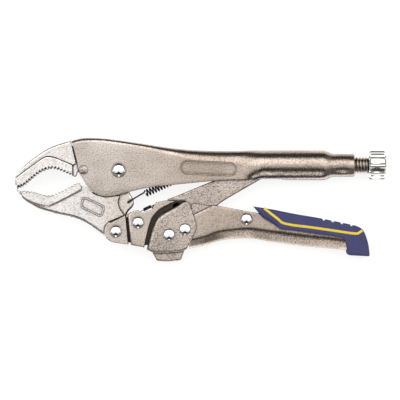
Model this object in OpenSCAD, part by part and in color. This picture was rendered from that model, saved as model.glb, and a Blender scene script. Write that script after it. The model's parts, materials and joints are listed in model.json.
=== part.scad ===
// Locking pliers with curved jaws, a toggle linkage, an adjusting screw and a hinged
// release handle. The tool lies on its side: +X runs from the jaws to the knob, +Y is
// up across the tool's width and +Z is its thickness. The origin is the centre of the
// bounding box's lowest face. Outlines are drawn from the jaw pivot.

/* [Overall] */
// From the jaw pivot forward to the jaws' tips
nose_reach = 70.8; // [68:0.1:74]
// From the jaw pivot back to the end of the knob
knob_reach = 183.2; // [180:0.1:190]
// From the jaw pivot up to the top of the upper handle
top_rise = 22.1; // [21.9:0.1:22.4]
// From the jaw pivot down to the heel of the lower handle
heel_drop = 62.8; // [62:0.1:64]
// From the middle plane out to each side
half_thick = 10.25; // [10.25:0.05:10.6]

/* [Steel sheet and forgings] */
// Inside width of the upper handle's channel
channel_gap = 7.1; // [6.8:0.1:7.4]
// Outside width of the upper handle's flat part
channel_out = 13.2; // [12.8:0.1:13.6]
// Width of the jaws along their teeth
jaw_band = 14; // [13:0.1:15]
// Width of the jaws behind the teeth
jaw_back = 12; // [11:0.1:12.6]
// Thickness of the jaws' tangs
tang = 6.5; // [6:0.1:6.6]
// Thickness of the toggle link
link_w = 6; // [5:0.1:6.2]
// Depth of one tooth
tooth_depth = 1.1; // [0.6:0.1:1.4]

/* [Pivots, from the jaw pivot] */
// Rivet of the fixed jaw
fixed_at = [-24.1, 0.1]; // [-30:0.1:30]
// Joint of lower jaw and front lever
jaw_at = [-2, -41.9]; // [-50:0.1:50]
// Rivet of the front lever's pads
pad_at = [13.3, -35.9]; // [-50:0.1:50]
// Pin of the toggle link
toggle_at = [39.9, -25.4]; // [-50:0.1:50]
// Rivet that the release turns on
release_at = [34.5, -44.2]; // [-50:0.1:50]
// Rivet that stops the release
stop_at = [45.4, -40.5]; // [-50:0.1:50]
// Rivet of the handle's liner
liner_at = [87.5, -33.5]; // [-90:0.1:90]
// Radial running clearance of every pivot
run_fit = 0.05; // [0.02:0.01:0.1]
// Swing of the release handle, degrees
release_swing = 6; // [3:0.5:6]

/* [Adjusting screw] */
// Height of the screw's axis above the jaw pivot
screw_y = 3.36; // [3:0.02:3.6]
// Diameter over the thread
screw_d = 11.4; // [10:0.1:12]
// Length of thread seen between collar and knob when closed
thread_seen = 9.6; // [8:0.1:12]
// Diameter of the knob
knob_d = 19.5; // [18:0.1:20]
// Length of the knob
knob_l = 11.9; // [11:0.1:13]
// Diameter of the handle's round rear
tube_d = 20.5; // [20:0.1:20.5]
// Diameter of the collar
collar_d = 15.7; // [15:0.1:17]
// Length of the collar
collar_l = 13.8; // [12:0.1:15]

/* [Lower handle] */
// Inside width of the lower handle's channel
handle_gap = 9.2; // [9:0.1:9.4]
// Outside width of the lower handle's channel
handle_out = 14.4; // [14:0.1:14.6]
// Inside width of the front shell over the lever
shell_gap = 11.6; // [11.6:0.1:12]
// Outside width of the front shell
shell_out = 17.2; // [17:0.1:18]
// Width of the yellow line
stripe_w = 2.1; // [1.5:0.1:2.5]

/* [Hidden] */
$fn = 48;
mid = [-(knob_reach - nose_reach) / 2, -(top_rise - heel_drop) / 2, half_thick];
spine = 3;
plate_in = channel_gap / 2;
tail_out = 5.6;
ear_out = 6.8;
pad_out = 7.6;
knob_x = knob_reach - knob_l;
collar_x = knob_x - thread_seen;
taper_x = collar_x - collar_l;
tube_x = 98;
bore_r = 7.3;
tip_r = 4.6;
tip_x = 119.5;
nose_at = [110, screw_y];
spring_dir = 24.4;

steel = "#c9c3ba";
forged = "#b9b2a8";
chrome = "#e4e4e6";
dark = "#2a2a2c";
navy = "#3a3b63";
yellow = "#f2d544";

// ---- curves --------------------------------------------------------------------

// Points of an arc about c
function arc(c, r, from, to, n) =
    [for (i = [0:n]) c + r * [cos(from + (to - from) * i / n), sin(from + (to - from) * i / n)]];

// One Catmull-Rom span
function span(a, b, c, d, t) =
    0.5 * (2 * b + t * (c - a) + t * t * (2 * a - 5 * b + 4 * c - d)
        + t * t * t * (3 * b - 3 * c + d - a));

// A smooth curve through all the points of p, n steps to a span
function curve(p, n) = [
    for (i = [0:len(p) - 2], k = [0:n - 1])
        span(p[max(i - 1, 0)], p[i], p[i + 1], p[min(i + 2, len(p) - 1)], k / n),
    p[len(p) - 1]];

function turned(v) = [-v[1], v[0]] / norm(v);

// A curve whose odd points are pushed aside, as a row of teeth
function toothed(p, teeth, depth) =
    let (q = curve(p, 12), last = len(q) - 1, m = 2 * teeth)
    [for (i = [0:m])
        let (u = i * last / m, k = min(floor(u), last - 1), at = q[k] + (u - k) * (q[k + 1] - q[k]))
        at + (i % 2) * depth * turned(q[k + 1] - q[k])];

// The outline of a ribbon of width w along p
function ribbon(p, w) =
    let (n = len(p) - 1, side = [for (i = [0:n]) turned(p[min(i + 1, n)] - p[max(i - 1, 0)]) * w / 2])
    concat([for (i = [0:n]) p[i] + side[i]], [for (i = [n:-1:0]) p[i] - side[i]]);

// ---- outlines ------------------------------------------------------------------

handle_top = curve([[-32.5, 19.9], [-18.7, top_rise], [8.2, 19.3], [31.6, 15.8], [52, 13.9],
    [70, 13.6], [98, 13.6]], 5);
handle_front = [[-28.2, 4.6], [-27.6, 0], [-26.6, -3]];
handle_low = curve([[-24.6, -5.2], [-21.5, -11.2], [-16.3, -16], [-9.3, -18.2], [-2, -17.4],
    [11.7, -13.8], [35.5, -10.3], [61.8, -7.7], [80, -6.85], [98, -6.85]], 3);

upper_teeth = toothed([[-69.4, -13], [-64.2, -11], [-53.7, -2.3], [-46.7, 0.6], [-41.9, 0.1],
    [-36.6, -2], [-31.8, -4.1]], 15, tooth_depth);
upper_back = curve([[-33.1, 20.2], [-47.6, 15.2], [-60.7, 6.5], [-67.3, 0.1], [-70.4, -5.5],
    [-nose_reach, -10]], 4);
upper_step = curve([[-31.9, 3], [-38.8, 6], [-47.6, 8.7], [-58.5, 3], [-70.2, -5.6]], 4);

lower_teeth = toothed([[-26.4, -9.1], [-28.8, -8.8], [-38.6, -13.9], [-47.6, -17.3],
    [-56.5, -15.2], [-66.6, -13.6]], 14, tooth_depth);
lower_back = curve([[-69.9, -13.3], [-69.6, -14.4], [-64.6, -19.3], [-56.3, -25.9], [-43.2, -30.1],
    [-30, -33.1], [-21.3, -37.1], [-10.4, -44.7]], 4);
lower_step = curve([[-66.2, -17.3], [-60.2, -21.3], [-50.2, -24.2], [-44.9, -23.1], [-32.2, -16.7],
    [-25.7, -13.2]], 4);

grip_top = curve([[92.2, -24.9], [106, -27.1], [120.9, -30.1], [138, -33], [161.8, -37.9]], 4);
grip_end = curve([[161.8, -37.9], [166, -40], [168.5, -43.5], [170.8, -50.9], [171.7, -58.2]], 4);
grip_wing = [[171.2, -59.1], [158.1, -58.4], [156.6, -57.6], [155.1, -49.4], [153.6, -46.4],
    [146.9, -45.3], [120.9, -41.4], [111.2, -40.5], [106, -36.8], [98.6, -32.3]];
stripe_path = concat(curve([[100.6, -26.8], [108.5, -33.2], [114.6, -36.9], [135.8, -39.8],
    [158.1, -43.1], [164, -43.6]], 5), [[166.3, -41.9]]);

handle_under = curve([[47.8, -53.9], [58.1, -51.8], [68.6, -48.6], [79.1, -47], [89.6, -46.8],
    [106, -49.4], [135.8, -53.2], [162, -55]], 4);
handle_edge = [[163, -54], [163, -43.5], [150, -38.6], [110, -31.4], [93.3, -29.2], [76.2, -26],
    [66.5, -24.5], [63.3, -25], [51.8, -30.3], [50.6, -30.9], [50.6, -44]];

// ---- helpers -------------------------------------------------------------------

module placed() {
    translate(mid) children();
}

// A flat piece, symmetrical about the middle plane
module slab(points, width) {
    translate([0, 0, -width / 2]) linear_extrude(height = width) polygon(points);
}

// A flat piece between two distances from the middle plane, on side 1 or -1
module leaf(points, from, to, side) {
    translate([0, 0, side > 0 ? from : -to]) linear_extrude(height = to - from) polygon(points);
}

module disc(at, r, width) {
    translate([at[0], at[1], -width / 2]) cylinder(r = r, h = width);
}

module rod_x(x, r, length) {
    translate([x, screw_y, 0]) rotate([0, 90, 0]) cylinder(r = r, h = length);
}

// A rod in the middle plane, from p to q
module wire(p, q, r) {
    translate([p[0], p[1], 0]) rotate([0, 0, atan2(q[1] - p[1], q[0] - p[0])])
        rotate([0, 90, 0]) cylinder(r = r, h = norm(q - p), $fn = 24);
}

// A domed head: an arc of revolution standing on the plane z = base
module dome(r, base, rise) {
    ball = (r * r + rise * rise) / (2 * rise);
    half = asin(r / ball);
    translate([0, 0, base]) rotate_extrude()
        polygon(concat([[0, 0]], arc([0, rise - ball], ball, 90 - half, 90, 8)));
}

module rivet(at, shaft, head, seat, rise) {
    translate([at[0], at[1], 0]) {
        translate([0, 0, -seat]) cylinder(r = shaft, h = 2 * seat);
        dome(head, seat, rise);
        mirror([0, 0, 1]) dome(head, seat, rise);
    }
}

// ---- upper frame ---------------------------------------------------------------

module upper_handle() {
    color(steel) placed() difference() {
        union() {
            slab(concat(handle_top, [for (i = [len(handle_low) - 1:-1:0]) handle_low[i]],
                [for (i = [2:-1:0]) handle_front[i]]), channel_out);
            hull() {
                translate([84, -6.8, -channel_out / 2]) cube([1, 20.4, channel_out]);
                rod_x(tube_x, tube_d / 2, 1);
            }
            rod_x(tube_x, tube_d / 2, taper_x - 8 - tube_x);
            translate([taper_x - 8, screw_y, 0]) rotate([0, 90, 0])
                cylinder(r1 = tube_d / 2, r2 = collar_d / 2, h = 8);
            rod_x(taper_x, collar_d / 2, collar_l);
        }
        slab(concat([for (p = handle_top) p - [0, spine]], [[98, -30], [-60, -30], [-60, 16.9]]),
            channel_gap);
        translate([90, -12, -plate_in]) cube([28, 12 + screw_y, channel_gap]);
        translate([90, screw_y, -plate_in]) cube([10, bore_r, channel_gap]);
        rod_x(tube_x + 1, bore_r, taper_x - 3 - tube_x);
        rod_x(taper_x - 3, screw_d / 2 + run_fit, collar_l + 4);
        disc([0, 0], 3, 30);
        disc(fixed_at, 2.2, 30);
    }
}

module fixed_jaw() {
    rear = [[-31.8, -4.1], [-31.8, 3.4], [-29.4, 4.6]];
    color(forged) placed() difference() {
        union() {
            slab(concat(upper_back, upper_teeth, rear), jaw_back);
            slab(concat(upper_teeth, upper_step), jaw_band);
            slab([[-36, 6], [-31.7, 2], [-31.7, -3.6], [-30.4, -4.9], [-28.9, -3.8], [-28.6, -1],
                [-24, -4.2], [-19, -3.2], [-13.5, 3], [-12.2, 12], [-13, 18.2], [-33, 16.4]], tang);
        }
        disc(fixed_at, 2.2, 30);
    }
}

module fixed_jaw_rivet() {
    color(chrome) placed() rivet(fixed_at, 2.2, 3.15, channel_out / 2, 1);
}

module jaw_pivot_rivet() {
    color(chrome) placed() rivet([0, 0], 3, 4.9, channel_out / 2, 3);
}

// ---- lower jaw -----------------------------------------------------------------

module lower_jaw() {
    // The thick part stays outside the upper handle's edge through the whole swing
    inner = [[-9.3, -37.9], [-6.4, -35.1], [3.4, -30.9], [0.2, -26.2], [-0.8, -22.3],
        [-0.4, -19.9], [0.6, -17.9], [-3, -18.1], [-9.4, -18.9], [-16.8, -16.7], [-22.2, -11.9],
        [-24.2, -9.2], [-25.4, -9.6]];
    color(forged) placed() difference() {
        union() {
            slab(concat(lower_back, arc(jaw_at, 8.2, 192, 162, 5), inner, lower_teeth), jaw_back);
            slab(concat(lower_teeth, lower_step), jaw_band);
            slab([[-11, -1], [11, -1], [7.2, -15.7], [10, -19.5], [10.7, -22.3], [9.7, -25.1],
                [5.4, -29.3], [4.6, -40], [-8.6, -40], [-18, -34], [-19, -15.5], [-12.5, -10]], tang);
            disc([0, 0], 11, tang);
            disc(jaw_at, 7.2, tang);
        }
        disc([0, 0], 3 + run_fit, 30);
        disc(jaw_at, 2.6, 30);
        disc([7.2, -21.5], 1.3, 30);
    }
}

module lower_jaw_rivet() {
    color(chrome) placed() rivet(jaw_at, 2.6, 4.1, ear_out + 0.15, 2.3);
}

module main_spring() {
    run = [cos(spring_dir), sin(spring_dir)];
    start = [18.5, -16];
    finish = start + 38 * run;
    color(dark) placed() {
        wire([8.4, -20.9], start + 0.5 * run, 0.6);
        wire(start, finish, 2.5);
        wire(finish - 0.5 * run, finish + 9 * run, 0.6);
    }
}

// ---- front lever ---------------------------------------------------------------

// One plate of the front lever, on side 1 or -1
module lever_plate(side) {
    tail = [[-5.6, -36.1], [3.6, -31.5], [5.6, -30], [9.7, -28.1], [13.4, -27.5], [15.4, -29.4],
        [22.6, -27.2], [24.3, -24.1], [25.5, -22.2], [31.6, -20.9], [45.6, -20.9], [47, -23],
        [47.4, -36], [49.4, -40.5], [47, -45.6], [38, -49.6], [28, -51.2], [17, -51.6],
        [8.3, -51], [-3.4, -49.4]];
    ear = [[-5.6, -36.1], [3.6, -31.5], [4.4, -30.7], [6.5, -51.1], [-3.4, -49.4]];
    pad = concat([[5.9, -30.2], [9.7, -28.1], [13.4, -27.5], [15.4, -29.4], [22.6, -27.2],
        [24.3, -24.1], [25.5, -22.2], [31.4, -21.1], [34.6, -22.9]],
        curve([[31.8, -24.9], [26.2, -28.9], [22.7, -33.2], [21.1, -37.9], [19.1, -45.8],
        [17.4, -53.2]], 3), [[8.3, -51.5]]);
    difference() {
        union() {
            leaf(tail, plate_in, tail_out, side);
            leaf(ear, plate_in, ear_out, side);
            leaf(pad, plate_in, pad_out, side);
            translate([jaw_at[0], jaw_at[1], side > 0 ? plate_in : -ear_out])
                cylinder(r = 7.7, h = ear_out - plate_in);
        }
        disc(jaw_at, 2.6 + run_fit, 30);
        disc(pad_at, 2.6, 30);
        disc(toggle_at, 3, 30);
        disc(release_at, 2.5 + run_fit, 30);
        for (a = [0:1.5:release_swing])
            disc(release_at + [cos(-a) * (stop_at - release_at)[0] - sin(-a) * (stop_at - release_at)[1],
                sin(-a) * (stop_at - release_at)[0] + cos(-a) * (stop_at - release_at)[1]], 2.8, 30);
    }
}

module front_lever_near() {
    color(steel) placed() lever_plate(1);
}

module front_lever_far() {
    color(steel) placed() lever_plate(-1);
}

module lever_spacer() {
    color(forged) placed() difference() {
        disc(pad_at, 4.4, channel_gap);
        disc(pad_at, 2.6, 30);
    }
}

module lever_rivet() {
    color(chrome) placed() rivet(pad_at, 2.6, 4.1, pad_out, 2.2);
}

module toggle_pin() {
    color(forged) placed() disc(toggle_at, 3, 2 * tail_out);
}

// ---- toggle --------------------------------------------------------------------

module toggle_link() {
    top = [[33.4, -19.8], [38.1, -18.3], [62.5, -8.3], [84, 0.6], [100, 6.2]];
    under = [[95.9, -7.2], [72.3, -20.8], [66.8, -25], [58, -29.4], [46, -31.9]];
    color(forged) placed() difference() {
        union() {
            slab(concat(top, arc(nose_at, 4, 95, -60, 10), under,
                arc(toggle_at, 7, -85, -190, 8)), link_w);
        }
        disc(toggle_at, 3 + run_fit, 30);
    }
}

// ---- lower handle --------------------------------------------------------------

module handle_front_shell() {
    left = curve([[19.5, -54.6], [22.3, -43.8], [23.9, -39.1], [26.2, -33.9], [29.8, -30.4],
        [35.7, -26.9], [44.4, -22]], 3);
    right = [[47.2, -21.8], [48.7, -23.7], [51.1, -30.4], [53.5, -39.1], [49.9, -48.1],
        [46.7, -53.8], [45.4, -54.9]];
    bottom = [[42.4, -56], [34.2, -56.7], [27.6, -56.8], [22.7, -56.3]];
    color(forged) placed() difference() {
        union() {
            slab(concat(left, right, bottom), shell_out);
            slab([[22.7, -56.2], [26.3, -62.4], [34.2, -heel_drop], [42.6, -61.9], [45.2, -55]],
                10.4);
        }
        translate([10, -54.3, -shell_gap / 2]) cube([60, 40, shell_gap]);
        translate([47.5, -58, -handle_out / 2 - 0.1]) cube([20, 40, handle_out + 0.2]);
        disc(release_at, 2.5, 30);
        disc(stop_at, 2.5, 30);
    }
}

module lower_handle() {
    color(steel) placed() difference() {
        slab(concat(handle_under, handle_edge), handle_out);
        slab(concat([for (p = handle_under) p + [0, spine]],
            [[170, -52], [170, -10], [40, -10], [40, -50.8]]), handle_gap);
        disc(liner_at, 2.5, 30);
    }
}

module handle_liner() {
    cheek = [[50, -22.9], [62.9, -24.9], [66.5, -24.9], [76.2, -26.4], [93, -29.6],
        [95, -42], [80, -43.6], [68, -45], [56, -46], [50.6, -45.8]];
    color(forged) placed() difference() {
        slab(cheek, handle_gap - 0.1);
        slab(concat([[40, -10], [100, -10], [100, -40]], [[80, -40.6], [68, -42], [56, -43], [40, -43]]),
            6.8);
        disc(liner_at, 2.5, 30);
    }
}

module release_cam() {
    color(forged) placed() difference() {
        union() {
            slab([[29.8, -45.5], [25.2, -31], [22.6, -26.4], [23.4, -24], [25.2, -23], [27.2, -24.2],
                [29.5, -30.5], [33, -36.5], [45, -36], [49, -39], [48.2, -43.8], [36, -49]], 6.4);
            disc(release_at, 5, 6.4);
        }
        disc(release_at, 2.5, 30);
        disc(stop_at, 2.5, 30);
    }
}

module release_pivot_rivet() {
    color(chrome) placed() rivet(release_at, 2.5, 3.9, shell_out / 2, half_thick - shell_out / 2);
}

module stop_rivet() {
    color(chrome) placed() rivet(stop_at, 2.5, 3.9, shell_out / 2, half_thick - shell_out / 2);
}

module liner_rivet() {
    color(chrome) placed() rivet(liner_at, 2.5, 4, handle_out / 2, 2.1);
}

module grip_sleeve() {
    cavity = concat([for (p = handle_under) p - [0, 6]], [[163.1, -52], [163.1, -43.4], [150, -38.5],
        [110, -31.3], [90, -28.4], [48, -31]]);
    color(navy) placed() difference() {
        slab(concat(grip_top, grip_end, grip_wing), 2 * half_thick);
        slab(cavity, handle_out);
        for (x = [140.6, 146.7, 153, 159.6])
            translate([x, -33.4 - (x - 138) * 0.206, 0]) rotate([0, 0, -11.6])
                translate([-1.1, 0, -15]) cube([2.2, 4, 30]);
        for (side = [1, -1])
            leaf(ribbon(stripe_path, stripe_w), half_thick - 0.6, half_thick + 1, side);
    }
}

module grip_stripe() {
    color(yellow) placed() for (side = [1, -1])
        leaf(ribbon(stripe_path, stripe_w), half_thick - 0.6, half_thick - 0.05, side);
}

module release_spring() {
    color(dark) placed() {
        wire([15.2, -28.5], [17.1, -27.3], 0.4);
        wire([17, -27.3], [22.2, -24.8], 0.9);
    }
}

// ---- adjusting screw -----------------------------------------------------------

module adjusting_screw() {
    color(forged) placed() rod_x(tip_x + tip_r, screw_d / 2, knob_x - tip_x - tip_r);
}

module adjusting_knob() {
    edge = 1.1;
    color(chrome) placed() translate([knob_x, screw_y, 0]) rotate([0, 90, 0]) difference() {
        rotate_extrude() polygon([[0, 0], [knob_d / 2 - edge, 0], [knob_d / 2, 1.4 * edge],
            [knob_d / 2, knob_l - edge], [knob_d / 2 - edge, knob_l], [0, knob_l]]);
        for (a = [0:36:324])
            rotate([0, 0, a + 18]) translate([knob_d / 2 + 1.6, 0, -1]) cylinder(r = 2.2, h = knob_l + 2);
    }
}

module thrust_tip() {
    color(chrome) placed() translate([tip_x, screw_y, 0]) rotate([0, 90, 0]) rotate_extrude()
        polygon(concat([[0, tip_r]], [for (p = arc([0, tip_r], tip_r, 0, -90, 8)) p]));
}

upper_handle();
fixed_jaw();
fixed_jaw_rivet();
jaw_pivot_rivet();
lower_jaw();
lower_jaw_rivet();
main_spring();
front_lever_near();
front_lever_far();
lever_spacer();
lever_rivet();
toggle_pin();
toggle_link();
handle_front_shell();
lower_handle();
handle_liner();
release_cam();
release_pivot_rivet();
stop_rivet();
liner_rivet();
grip_sleeve();
grip_stripe();
release_spring();
adjusting_screw();
adjusting_knob();
thrust_tip();
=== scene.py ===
import json
import math

import bmesh
import bpy
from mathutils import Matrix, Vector
from mathutils.geometry import intersect_line_line_2d


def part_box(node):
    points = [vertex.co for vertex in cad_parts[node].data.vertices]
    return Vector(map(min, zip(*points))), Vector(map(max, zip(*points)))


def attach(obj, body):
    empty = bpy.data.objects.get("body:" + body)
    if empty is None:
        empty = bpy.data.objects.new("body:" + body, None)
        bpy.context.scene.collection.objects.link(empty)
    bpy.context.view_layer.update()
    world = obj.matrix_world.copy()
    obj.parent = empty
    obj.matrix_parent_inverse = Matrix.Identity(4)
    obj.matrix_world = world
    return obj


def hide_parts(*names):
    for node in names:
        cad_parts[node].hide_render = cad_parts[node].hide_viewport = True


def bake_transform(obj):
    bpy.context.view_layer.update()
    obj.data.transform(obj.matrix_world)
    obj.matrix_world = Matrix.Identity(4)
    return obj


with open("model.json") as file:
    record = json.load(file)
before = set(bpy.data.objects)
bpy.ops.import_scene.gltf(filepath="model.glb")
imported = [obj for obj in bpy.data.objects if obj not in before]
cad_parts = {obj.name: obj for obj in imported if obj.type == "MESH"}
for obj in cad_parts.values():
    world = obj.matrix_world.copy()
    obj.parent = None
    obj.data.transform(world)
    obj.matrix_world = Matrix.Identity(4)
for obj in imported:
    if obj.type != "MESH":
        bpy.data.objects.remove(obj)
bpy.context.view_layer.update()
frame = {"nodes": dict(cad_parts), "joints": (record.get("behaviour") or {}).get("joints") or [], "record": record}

# ---- the pliers' own units -------------------------------------------------------
# Outlines are in millimetres from the jaw pivot, in the middle plane of the tool.

MM = 0.001
JOINTS = {joint["name"]: joint for joint in frame["joints"]}
PIVOT = Vector(JOINTS["jaw_hinge"]["pos_m"])
BODIES = {node: body for body, nodes in frame["record"]["behaviour"]["bodies"].items() for node in nodes}

PLATE_IN = 3.9       # inside of the upper handle's channel, from the middle plane
PLATE_OUT = 6.6      # its flat outside
TUBE_Y = 3.36        # place of the screw's axis across the tool
TUBE_R = 10.25       # round rear of the upper handle
TUBE_BORE = 7.5
COLLAR_R = 7.85      # threaded collar at its end
COLLAR_BORE = 5.95
SLOT_HALF = 3.55     # half the slot under the round rear
SEAM_HALF = 0.14     # half the closed seam behind the slot
BAND = 7.0           # jaws' half width at the teeth
BACK = 6.0           # and behind them
TANG = 3.25          # half width of the tangs that run into the handles
LINK = 3.0           # and of the toggle link
LEVER_IN = 3.55      # inside of the lever plates
EAR_OUT = 6.8        # outside of their ears, round the lower jaw's rivet
PAD_OUT = 7.6        # of their raised pads
TAIL_OUT = 5.6       # and of their tails, under the shell
SHELL_OUT = 8.6      # lower handle's front shell
SHELL_IN = 5.8
CHEEK_OUT = 7.2      # lower handle's channel
CHEEK_IN = 4.6
GRIP_OUT = 10.25     # rubber sleeve
TOOTH_BACKING = 1.3  # steel behind the root of the teeth
FOLD_LOSS = 0.8      # share of the wall that a fold's depth loses on its inside
CREASE = 35          # angle in degrees past which an edge is left sharp


def in_frame(point):
    return tuple(PIVOT + Vector(point) * MM)


def middle(node):
    """Middle of a CAD node, in millimetres from the jaw pivot."""
    low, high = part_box(node)
    return ((low + high) / 2 - PIVOT) / MM


def size(node):
    low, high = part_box(node)
    return (high - low) / MM


# ---- curves and outlines ---------------------------------------------------------


def smooth(points, steps):
    """A Catmull-Rom curve through all the points, of any number of coordinates."""
    rows = [Vector(p) if len(p) < 5 else p for p in points]
    count = len(rows)
    curve = []
    for i in range(count - 1):
        a, b, c, d = (rows[max(0, min(count - 1, i + k))] for k in (-1, 0, 1, 2))
        for k in range(steps):
            t = k / steps
            curve.append([0.5 * (2 * q + t * (r - p) + t * t * (2 * p - 5 * q + 4 * r - s)
                + t ** 3 * (3 * q - 3 * r + s - p)) for p, q, r, s in zip(a, b, c, d)])
    curve.append(list(rows[-1]))
    return curve


def flat(points, steps=4):
    return [Vector(p) for p in smooth(points, steps)]


def rounded(points, radius, steps=4):
    """A closed outline with its corners rounded."""
    points = [Vector(p) for p in points]
    count = len(points)
    outline = []
    for i, corner in enumerate(points):
        sides = [points[i - 1] - corner, points[(i + 1) % count] - corner]
        before, after = (corner + side * min(radius / side.length, 0.45) for side in sides)
        for k in range(steps + 1):
            t = k / steps
            outline.append(before * (1 - t) ** 2 + corner * 2 * t * (1 - t) + after * t * t)
    return outline


def arc(centre, radius, start, end, steps):
    angles = [math.radians(start + (end - start) * i / steps) for i in range(steps + 1)]
    return [Vector((centre[0] + radius * math.cos(a), centre[1] + radius * math.sin(a))) for a in angles]


def left_of(step):
    return Vector((-step.y, step.x)).normalized()


def counter_clockwise(outline):
    area = sum(p.x * q.y - q.x * p.y for p, q in zip(outline, outline[1:] + outline[:1]))
    return list(outline) if area > 0 else list(outline)[::-1]


def inset(outline, distances):
    """A counter-clockwise outline moved inwards, by one distance for each point. The small loops that
    tight corners make are drawn together where they cross."""
    count = len(outline)
    moved = []
    for i, point in enumerate(outline):
        before = left_of(point - outline[i - 1])
        after = left_of(outline[(i + 1) % count] - point)
        mitre = (before + after).normalized()
        moved.append(point + mitre * distances[i] / max(mitre.dot(before), 0.6))
    for i in range(count):
        for reach in range(2, min(14, count - 2)):
            ends = [moved[k % count] for k in (i, i + 1, i + reach, i + reach + 1)]
            crossing = intersect_line_line_2d(*ends)
            if crossing:
                for k in range(i + 1, i + reach + 1):
                    moved[k % count] = crossing
    return moved


def spaced(points, count):
    """That many points, evenly spaced along an open line."""
    lengths = [0.0]
    for p, q in zip(points, points[1:]):
        lengths.append(lengths[-1] + (q - p).length)
    result = []
    k = 0
    for i in range(count):
        target = lengths[-1] * i / (count - 1)
        while k < len(points) - 2 and lengths[k + 1] < target:
            k += 1
        share = (target - lengths[k]) / max(lengths[k + 1] - lengths[k], 1e-9)
        result.append(points[k].lerp(points[k + 1], min(share, 1)))
    return result


def ease(low, high, value):
    t = max(0.0, min(1.0, (value - low) / (high - low)))
    return t * t * (3 - 2 * t)


# ---- solids as (points, faces) ---------------------------------------------------


def loft(rings, ends="face", looped=False):
    """A skin over closed rings of equal length. An end is one face, or strips across a folded sheet."""
    count = len(rings[0])
    points = [tuple(p) for ring in rings for p in ring]
    faces = []
    spans = len(rings) if looped else len(rings) - 1
    for i in range(spans):
        near, far = i * count, (i + 1) % len(rings) * count
        faces += [(near + j, near + (j + 1) % count, far + (j + 1) % count, far + j) for j in range(count)]
    if looped:
        return points, faces
    for start, flip in ((0, True), ((len(rings) - 1) * count, False)):
        if ends == "face":
            end = [tuple(range(start, start + count))]
        else:
            end = [(start + j, start + j + 1, start + count - 2 - j, start + count - 1 - j)
                for j in range(count // 2 - 1)]
        faces += [face[::-1] if flip else face for face in end]
    return points, faces


def joined(*solids):
    points, faces = [], []
    for own_points, own_faces in solids:
        faces += [tuple(k + len(points) for k in face) for face in own_faces]
        points += own_points
    return points, faces


def mirrored(solid):
    """The same solid on the far side of the middle plane."""
    points, faces = solid
    return [(x, y, -z) for x, y, z in points], [face[::-1] for face in faces]


def slab(outline, low, high, radius=0.5, steps=4, one_sided=False):
    """A flat piece between two heights, with its edges rounded. The radius is one number, or a function
    of a point. A one-sided piece keeps a sharp edge underneath."""
    outline = counter_clockwise(outline)
    radii = [radius(p) if callable(radius) else radius for p in outline]
    flat_rim = 0.08
    rings = []

    def ring(share_in, share_up, extra, from_top):
        shifted = inset(outline, [r * share_in + extra for r in radii])
        heights = [high - r * share_up if from_top else low + r * share_up for r in radii]
        rings.append([(p.x, p.y, h) for p, h in zip(shifted, heights)])

    turns = [math.radians(90 * i / steps) for i in range(steps + 1)]
    if one_sided:
        rings.append([(p.x, p.y, low) for p in outline])
    else:
        ring(1, 0, flat_rim, False)
        for a in turns:
            ring(1 - math.sin(a), 1 - math.cos(a), 0, False)
    for a in reversed(turns):
        ring(1 - math.sin(a), 1 - math.cos(a), 0, True)
    ring(1, 0, flat_rim, True)
    return loft(rings)


def toothed(line, teeth, first, last):
    """A line with every second point pushed to its left, from the first depth at its start to the last
    at its end."""
    places = spaced(line, 2 * teeth + 1)
    row = []
    for i, point in enumerate(places):
        along = places[min(i + 1, 2 * teeth)] - places[max(i - 1, 0)]
        depth = first + (last - first) * i / (2 * teeth)
        row.append(point + left_of(along) * depth * (i % 2))
    return row


def tooth_band(line, step, teeth, depths, bevel):
    """The raised band that carries the teeth: a ridge on the line's side, and on the other a step down to
    the jaw's flat."""
    ridge = toothed(line, teeth, *depths)
    root = spaced(line, 2 * teeth + 1)
    back = spaced(step, 2 * teeth + 1)
    fillet = [(-1.7, BACK - 0.3), (-1.2, BACK + 0.01), (-1.05, BACK + 0.04), (-0.95, BACK + 0.12),
        (-0.1, BAND - 0.12), (0.05, BAND - 0.03), (0.4, BAND), (0.5, BAND)]
    rings = []
    for tooth, foot, heel in zip(ridge, root, back):
        across = (foot - heel).normalized()
        side = [(heel + across * d, z) for d, z in fillet]
        side += [(foot - across * (TOOTH_BACKING + 0.5), BAND), (tooth - across * bevel, BAND)]
        side += [(tooth, BAND - bevel)]
        top = [(p.x, p.y, z) for p, z in side]
        rings.append(top + [(x, y, -z) for x, y, z in reversed(top)])
    return loft(rings)


def bead(path, width, rise, base):
    """A raised line round a closed path, on the flat at that height and on the far side too."""
    count = len(path)
    shoulder = 0.6 * rise
    profile = [(-0.5, -0.2), (-0.4, shoulder), (-0.2, rise), (0.2, rise), (0.4, shoulder), (0.5, -0.2)]
    rings = []
    for i, point in enumerate(path):
        out = left_of(path[(i + 1) % count] - path[i - 1])
        rings.append([(*(point + out * width * s), base + h) for s, h in profile])
    near = loft(rings, looped=True)
    return joined(near, mirrored(near))


def tube(path, radius, sides=10):
    """A round wire along a path of 3-D points, closed at both ends."""
    path = [Vector(p) for p in path]
    rings = []
    for i, point in enumerate(path):
        along = (path[min(i + 1, len(path) - 1)] - path[max(i - 1, 0)]).normalized()
        side = along.cross(Vector((0, 0, 1)))
        side = side.normalized() if side.length > 0.2 else Vector((0, 1, 0))
        up = side.cross(along).normalized()
        turns = [2 * math.pi * k / sides for k in range(sides)]
        rings.append([tuple(point + (side * math.cos(t) + up * math.sin(t)) * radius) for t in turns])
    return loft(rings)


def turned_x(profile, y, sides, radius_at):
    """A solid turned about a line along X, from (x, radius) pairs. radius_at shapes each ring by angle."""
    rings = []
    for x, radius in profile:
        ring = []
        for k in range(sides):
            turn = 2 * math.pi * k / sides
            own = radius_at(radius, turn)
            ring.append((x, y + own * math.cos(turn), own * math.sin(turn)))
        rings.append(ring)
    return loft(rings)


# ---- from solids to pieces -------------------------------------------------------


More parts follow.
